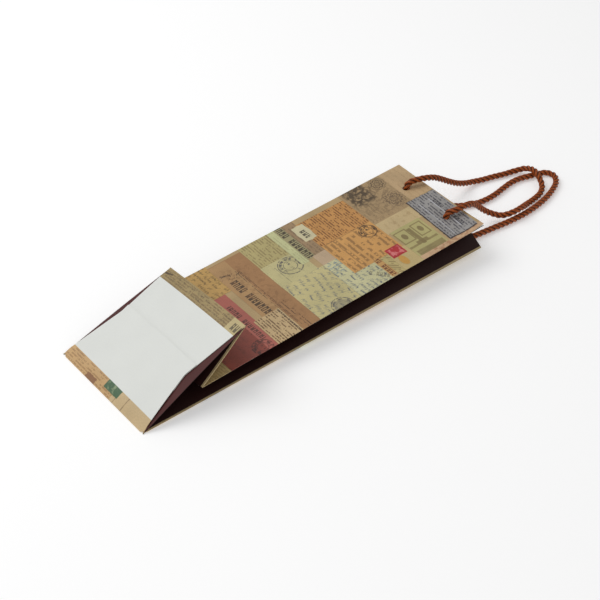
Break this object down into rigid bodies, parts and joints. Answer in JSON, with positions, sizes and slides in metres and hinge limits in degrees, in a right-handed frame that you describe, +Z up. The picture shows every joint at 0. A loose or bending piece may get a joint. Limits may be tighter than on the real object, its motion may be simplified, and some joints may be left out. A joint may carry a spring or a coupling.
{
  "type": "wine gift bag",
  "caption": "Tall square-bottomed paper gift bag for one bottle, folded nearly flat on its back, with inward gussets, an unfolding block bottom and two twisted rope handles.",
  "frame": {"origin": "centre of the paper bag's footprint, on the surface that it lies on", "axes": "+Y from the base towards the mouth, +X across the bag, +Z up; the bag lies on its back panel, tipped 1.05 degrees about X by the rope under its mouth"},
  "size_m": [0.11, 0.4873, 0.0478],
  "materials": {
    "printed_paper": "matte laminated, printed with an aged paper collage",
    "maroon_paper": "matte laminated, printed solid dark maroon",
    "base_paper": "uncoated white inside of the sheet with printed edges",
    "white_paper": "uncoated white",
    "board": "raw grey board",
    "rope": "satin twisted cord"
  },
  "bodies": {
    "back": {"back_panel": "printed_paper", "back_mouth_board": "board", "back_turn_in": "white_paper", "back_knot_left": "rope", "back_knot_right": "rope", "back_rope_run_left": "rope", "back_rope_run_right": "rope"},
    "base": {"base_side_flap_left": "maroon_paper", "base_side_flap_right": "maroon_paper", "base_front_flap": "base_paper", "base_back_flap": "base_paper", "base_board": "board"},
    "front_lower": {"front_lower_panel": "printed_paper"},
    "front": {"front_panel": "printed_paper", "front_mouth_board": "board", "front_turn_in": "white_paper", "front_knot_left": "rope", "front_knot_right": "rope"},
    "gusset_back_left_wall": {"gusset_back_left": "maroon_paper", "gusset_back_turn_in_left": "white_paper", "side_seam_tab": "maroon_paper"},
    "gusset_front_left_wall": {"gusset_front_left": "maroon_paper", "gusset_front_turn_in_left": "white_paper"},
    "base_corner_left": {"base_triangle_left": "maroon_paper"},
    "front_corner_left": {"lower_triangle_left": "maroon_paper"},
    "gusset_back_right_wall": {"gusset_back_right": "maroon_paper", "gusset_back_turn_in_right": "white_paper"},
    "gusset_front_right_wall": {"gusset_front_right": "maroon_paper", "gusset_front_turn_in_right": "white_paper"},
    "base_corner_right": {"base_triangle_right": "maroon_paper"},
    "front_corner_right": {"lower_triangle_right": "maroon_paper"},
    "front_handle": {"front_rope": "rope"},
    "back_handle": {"back_rope": "rope"}
  },
  "joints": [
    {"name": "base_fold", "type": "hinge", "parent": "back", "child": "base", "pos_m": [0, -0.175, 0.00019], "axis": [1, 0, 0], "range_deg": [-2, 65.72]},
    {"name": "front_lower_fold", "type": "hinge", "parent": "base", "child": "front_lower", "pos_m": [0, -0.07558, 0.04726], "axis": [1, 0, 0], "range_deg": [-2.48, 79.72]},
    {"name": "front_fold", "type": "hinge", "parent": "front_lower", "child": "front", "pos_m": [0, -0.12027, 0.01519], "axis": [1, 0, 0], "range_deg": [-147.52, 4.54]},
    {"name": "gusset_back_fold_left", "type": "hinge", "parent": "back", "child": "gusset_back_left_wall", "pos_m": [-0.055, -0.17501, 0.00054], "axis": [0, -0.9998, -0.0183], "range_deg": [-2.43, 78.3], "deforming": ["gusset_back_left", "gusset_back_turn_in_left", "side_seam_tab"]},
    {"name": "gusset_front_fold_left", "type": "hinge", "parent": "front", "child": "gusset_front_left_wall", "pos_m": [-0.055, -0.12025, 0.01485], "axis": [0, 0.9985, 0.0546], "range_deg": [-2.6, 83.72], "deforming": ["gusset_front_left", "gusset_front_turn_in_left"]},
    {"name": "base_corner_fold_left", "type": "hinge", "parent": "base", "child": "base_corner_left", "pos_m": [-0.055, -0.17485, -0.00013], "axis": [0, 0.9038, 0.4279], "range_deg": [-2.52, 81.08], "deforming": ["base_triangle_left"]},
    {"name": "front_corner_fold_left", "type": "hinge", "parent": "front_lower", "child": "front_corner_left", "pos_m": [-0.055, -0.07578, 0.04754], "axis": [0, -0.8125, -0.583], "range_deg": [-2.77, 89.57], "deforming": ["lower_triangle_left"]},
    {"name": "gusset_back_fold_right", "type": "hinge", "parent": "back", "child": "gusset_back_right_wall", "pos_m": [0.055, -0.17501, 0.00054], "axis": [0, 0.9998, 0.0183], "range_deg": [-2.43, 78.3], "deforming": ["gusset_back_right", "gusset_back_turn_in_right"]},
    {"name": "gusset_front_fold_right", "type": "hinge", "parent": "front", "child": "gusset_front_right_wall", "pos_m": [0.055, -0.12025, 0.01485], "axis": [0, -0.9985, -0.0546], "range_deg": [-2.6, 83.72], "deforming": ["gusset_front_right", "gusset_front_turn_in_right"]},
    {"name": "base_corner_fold_right", "type": "hinge", "parent": "base", "child": "base_corner_right", "pos_m": [0.055, -0.17485, -0.00013], "axis": [0, -0.9038, -0.4279], "range_deg": [-2.52, 81.08], "deforming": ["base_triangle_right"]},
    {"name": "front_corner_fold_right", "type": "hinge", "parent": "front_lower", "child": "front_corner_right", "pos_m": [0.055, -0.07578, 0.04754], "axis": [0, 0.8125, 0.583], "range_deg": [-2.77, 89.57], "deforming": ["lower_triangle_right"]},
    {"name": "front_handle_swing", "type": "hinge", "parent": "front", "child": "front_handle", "pos_m": [0, 0.15677, 0.03124], "axis": [1, 0, 0], "range_deg": [0, 150], "deforming": ["front_rope"]},
    {"name": "back_handle_lift", "type": "hinge", "parent": "back", "child": "back_handle", "pos_m": [0, 0.17545, 0.0029], "axis": [1, 0, 0], "range_deg": [0, 60], "deforming": ["back_rope"]}
  ],
  "couplings": [
    {"joint": "front_lower_fold", "follows": "base_fold", "ratio": 1.2124},
    {"joint": "front_fold", "follows": "base_fold", "ratio": -2.244},
    {"joint": "gusset_back_fold_left", "follows": "base_fold", "ratio": 1.1908},
    {"joint": "gusset_front_fold_left", "follows": "base_fold", "ratio": 1.2732},
    {"joint": "base_corner_fold_left", "follows": "base_fold", "ratio": 1.2331},
    {"joint": "front_corner_fold_left", "follows": "base_fold", "ratio": 1.3622},
    {"joint": "gusset_back_fold_right", "follows": "base_fold", "ratio": 1.1908},
    {"joint": "gusset_front_fold_right", "follows": "base_fold", "ratio": 1.2732},
    {"joint": "base_corner_fold_right", "follows": "base_fold", "ratio": 1.2331},
    {"joint": "front_corner_fold_right", "follows": "base_fold", "ratio": 1.3622}
  ]
}
